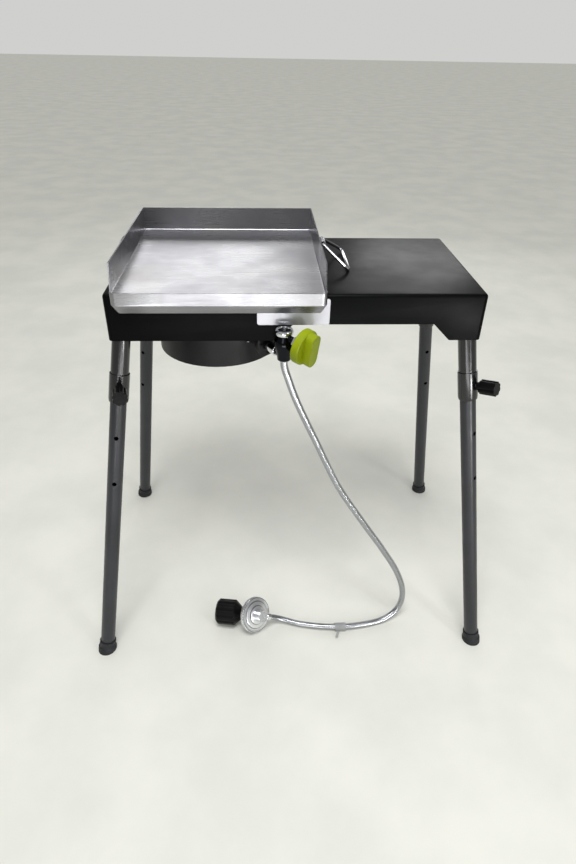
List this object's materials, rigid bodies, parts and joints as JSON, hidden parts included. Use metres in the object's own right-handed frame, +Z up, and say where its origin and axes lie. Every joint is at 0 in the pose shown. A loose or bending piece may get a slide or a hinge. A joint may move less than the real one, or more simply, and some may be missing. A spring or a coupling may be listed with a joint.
{
  "type": "propane burner stand",
  "caption": "Patio cooking stand: a steel table on telescopic legs with a wind-guarded gas burner, a lift-off griddle, a valve with a knob, and a hose with its regulator.",
  "frame": {"origin": "on the floor under the middle of the table, at the centre of the four feet", "axes": "+Z up, +X towards the side table, -Y the front with the gas valve"},
  "size_m": [0.8414, 0.5616, 0.8206],
  "materials": {
    "black_powder_coat": "satin black powder coat",
    "dark_grey_leg_paint": "satin dark grey paint on steel tube",
    "stainless_steel": "brushed stainless steel",
    "cast_iron": "rough dark cast iron",
    "black_plastic": "moulded black plastic",
    "black_rubber": "matt black rubber",
    "chrome_plate": "bright chrome plate",
    "black_metal": "glossy black metal",
    "brass": "turned brass",
    "lime_plastic": "lime green moulded plastic",
    "braided_hose": "rubber hose under a stainless braid",
    "grey_plastic": "grey plastic tie",
    "badge_silver": "bare silvery badge plate",
    "zinc_alloy": "die-cast light alloy, satin"
  },
  "bodies": {
    "stand": {"badge_plate": "badge_silver", "burner_bolt": "zinc_alloy", "burner_casting": "cast_iron", "burner_strap": "black_powder_coat", "gas_hose": "braided_hose", "gland_nut": "chrome_plate", "hose_ferrule": "zinc_alloy", "hose_swivel_nut": "zinc_alloy", "hose_tie": "grey_plastic", "inlet_nipple": "brass", "orifice_fitting": "chrome_plate", "outlet_elbow": "zinc_alloy", "regulator_body": "zinc_alloy", "regulator_cover": "zinc_alloy", "table_frame": "black_powder_coat", "valve_body": "black_metal", "valve_cap": "chrome_plate", "wind_guard": "black_powder_coat", "leg_collar_front_left": "dark_grey_leg_paint", "leg_collar_front_right": "dark_grey_leg_paint", "leg_collar_back_left": "dark_grey_leg_paint", "leg_collar_back_right": "dark_grey_leg_paint", "upper_leg_front_left": "dark_grey_leg_paint", "upper_leg_front_right": "dark_grey_leg_paint", "upper_leg_back_left": "dark_grey_leg_paint", "upper_leg_back_right": "dark_grey_leg_paint"},
    "grate": {"cook_grate": "cast_iron"},
    "griddle": {"griddle_pan": "stainless_steel", "handle_bracket_left": "stainless_steel", "handle_bracket_right": "stainless_steel"},
    "left_bail": {"bail_handle_left": "stainless_steel"},
    "right_bail": {"bail_handle_right": "stainless_steel"},
    "gas_knob": {"valve_knob": "lime_plastic", "valve_stem": "chrome_plate"},
    "shutter": {"air_shutter": "black_metal"},
    "cylinder_nut": {"hand_nut": "black_plastic"},
    "leg_front_left": {"lower_leg_front_left": "dark_grey_leg_paint", "foot_cap_front_left": "black_rubber"},
    "clamp_front_left": {"leg_knob_front_left": "black_plastic", "knob_stud_front_left": "zinc_alloy"},
    "leg_front_right": {"lower_leg_front_right": "dark_grey_leg_paint", "foot_cap_front_right": "black_rubber"},
    "clamp_front_right": {"leg_knob_front_right": "black_plastic", "knob_stud_front_right": "zinc_alloy"},
    "leg_back_left": {"lower_leg_back_left": "dark_grey_leg_paint", "foot_cap_back_left": "black_rubber"},
    "clamp_back_left": {"leg_knob_back_left": "black_plastic", "knob_stud_back_left": "zinc_alloy"},
    "leg_back_right": {"lower_leg_back_right": "dark_grey_leg_paint", "foot_cap_back_right": "black_rubber"},
    "clamp_back_right": {"leg_knob_back_right": "black_plastic", "knob_stud_back_right": "zinc_alloy"}
  },
  "joints": [
    {"name": "leg_slide_front_left", "type": "slide", "parent": "stand", "child": "leg_front_left", "axis": [0.1456, 0.1669, 0.9752], "range_m": [0, 0.135]},
    {"name": "clamp_turn_front_left", "type": "hinge", "parent": "stand", "child": "clamp_front_left", "pos_m": [-0.31262, -0.15957, 0.59547], "axis": [0.2293, -0.9645, 0.1309], "continuous": true},
    {"name": "leg_slide_front_right", "type": "slide", "parent": "stand", "child": "leg_front_right", "axis": [-0.1456, 0.1669, 0.9752], "range_m": [0, 0.135]},
    {"name": "clamp_turn_front_right", "type": "hinge", "parent": "stand", "child": "clamp_front_right", "pos_m": [0.31262, -0.15957, 0.59547], "axis": [0.6793, -0.6997, 0.2212], "continuous": true},
    {"name": "leg_slide_back_left", "type": "slide", "parent": "stand", "child": "leg_back_left", "axis": [0.1456, -0.1669, 0.9752], "range_m": [0, 0.135]},
    {"name": "clamp_turn_back_left", "type": "hinge", "parent": "stand", "child": "clamp_back_left", "pos_m": [-0.31262, 0.15957, 0.59547], "axis": [-0.5552, 0.8021, 0.2202], "continuous": true},
    {"name": "leg_slide_back_right", "type": "slide", "parent": "stand", "child": "leg_back_right", "axis": [-0.1456, -0.1669, 0.9752], "range_m": [0, 0.135]},
    {"name": "clamp_turn_back_right", "type": "hinge", "parent": "stand", "child": "clamp_back_right", "pos_m": [0.31262, 0.15957, 0.59547], "axis": [0.5552, 0.8021, 0.2202], "continuous": true},
    {"name": "grate_lift", "type": "slide", "parent": "stand", "child": "grate", "axis": [0, 0, 1], "range_m": [0, 0.1]},
    {"name": "griddle_lift", "type": "slide", "parent": "grate", "child": "griddle", "axis": [0, 0, 1], "range_m": [0, 0.15]},
    {"name": "left_bail_swing", "type": "hinge", "parent": "griddle", "child": "left_bail", "pos_m": [-0.3068, 0.0083, 0.8026], "axis": [0, 1, 0], "range_deg": [0, 174]},
    {"name": "right_bail_swing", "type": "hinge", "parent": "griddle", "child": "right_bail", "pos_m": [0.0532, 0.0083, 0.8026], "axis": [0, -1, 0], "range_deg": [0, 140]},
    {"name": "gas_valve_turn", "type": "hinge", "parent": "stand", "child": "gas_knob", "pos_m": [-0.02268, -0.18451, 0.7028], "axis": [0.7676, -0.6216, -0.1564], "range_deg": [0, 270]},
    {"name": "air_shutter_turn", "type": "hinge", "parent": "stand", "child": "shutter", "pos_m": [-0.1425, 0, 0.668], "axis": [0.5446, -0.8387, 0], "range_deg": [-35, 25]},
    {"name": "cylinder_nut_turn", "type": "hinge", "parent": "stand", "child": "cylinder_nut", "pos_m": [-0.08555, -0.20513, 0.03204], "axis": [-0.9812, 0.184, -0.058], "continuous": true}
  ]
}
